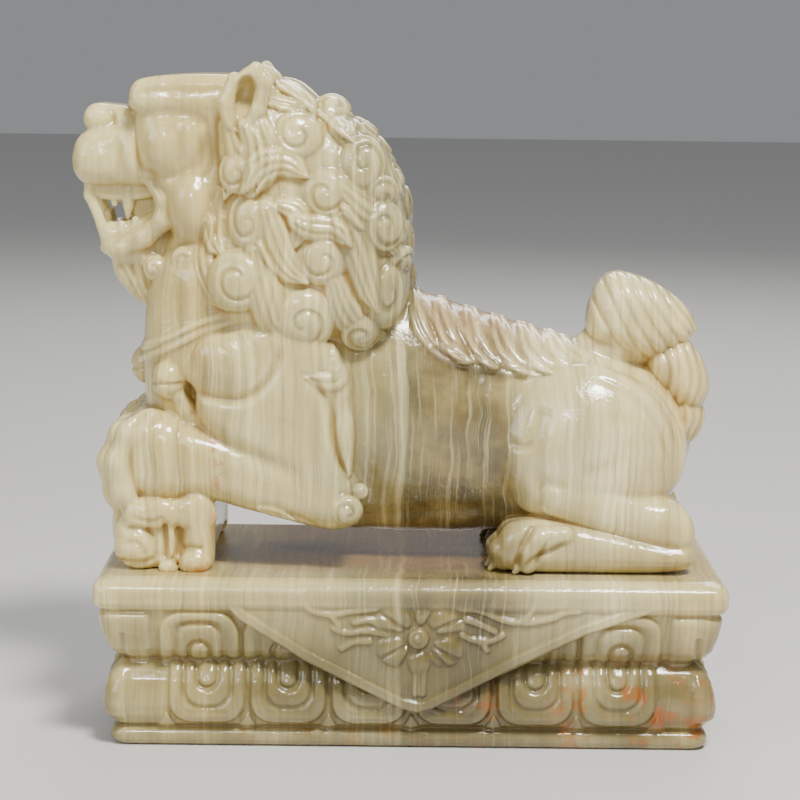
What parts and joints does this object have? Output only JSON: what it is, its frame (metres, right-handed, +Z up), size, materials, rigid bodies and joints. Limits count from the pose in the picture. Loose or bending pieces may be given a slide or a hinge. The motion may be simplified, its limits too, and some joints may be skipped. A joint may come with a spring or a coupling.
{
  "type": "guardian lion figurine",
  "caption": "Carved banded-stone guardian lion, crouching with its forepaws on a small cub, on an oblong lotus plinth with a draped cloth and relief flower; free-standing ornament.",
  "frame": {"origin": "centre of the plinth's flat resting face", "axes": "+Z up, -X the way the lion faces, -Y its left side"},
  "size_m": [0.2605, 0.11, 0.2685],
  "materials": {
    "head_onyx": "polished",
    "body_onyx": "polished",
    "plinth_onyx": "polished"
  },
  "bodies": {
    "root": {"beard": "head_onyx", "brow": "head_onyx", "cheek_left": "head_onyx", "cheek_right": "head_onyx", "chest": "body_onyx", "collar_band": "body_onyx", "collar_bells": "body_onyx", "collar_tassels": "body_onyx", "cub": "plinth_onyx", "drape_back": "plinth_onyx", "drape_front": "plinth_onyx", "drape_hem_back": "plinth_onyx", "drape_hem_front": "plinth_onyx", "ear_left": "head_onyx", "ear_right": "head_onyx", "elbow_curl_left": "body_onyx", "elbow_curl_right": "body_onyx", "eye_left": "head_onyx", "eye_right": "head_onyx", "fangs": "head_onyx", "flower_back": "plinth_onyx", "flower_front": "plinth_onyx", "foreleg_left": "body_onyx", "foreleg_right": "body_onyx", "forepaw_left": "body_onyx", "forepaw_right": "body_onyx", "haunch_left": "body_onyx", "haunch_right": "body_onyx", "head": "head_onyx", "hind_leg_left": "body_onyx", "hind_leg_right": "body_onyx", "hind_paw_left": "body_onyx", "hind_paw_right": "body_onyx", "jaw_curls": "head_onyx", "lotus_leaf_tips": "plinth_onyx", "lower_jaw": "head_onyx", "lower_lotus_core": "plinth_onyx", "lower_lotus_petals": "plinth_onyx", "mane": "head_onyx", "mane_curls_back": "head_onyx", "mane_curls_left": "head_onyx", "mane_curls_right": "head_onyx", "muzzle": "head_onyx", "nose": "head_onyx", "plinth_foot_band": "plinth_onyx", "plinth_top_slab": "plinth_onyx", "rump": "body_onyx", "shoulder_left": "body_onyx", "shoulder_right": "body_onyx", "spine_locks": "body_onyx", "tail_base": "body_onyx", "tail_tuft_lower": "body_onyx", "tail_tuft_middle": "body_onyx", "tail_tuft_upper": "body_onyx", "throat": "head_onyx", "torso": "body_onyx", "upper_lotus_core": "plinth_onyx", "upper_lotus_petals": "plinth_onyx", "vines_back": "plinth_onyx", "vines_front": "plinth_onyx"}
  },
  "joints": []
}
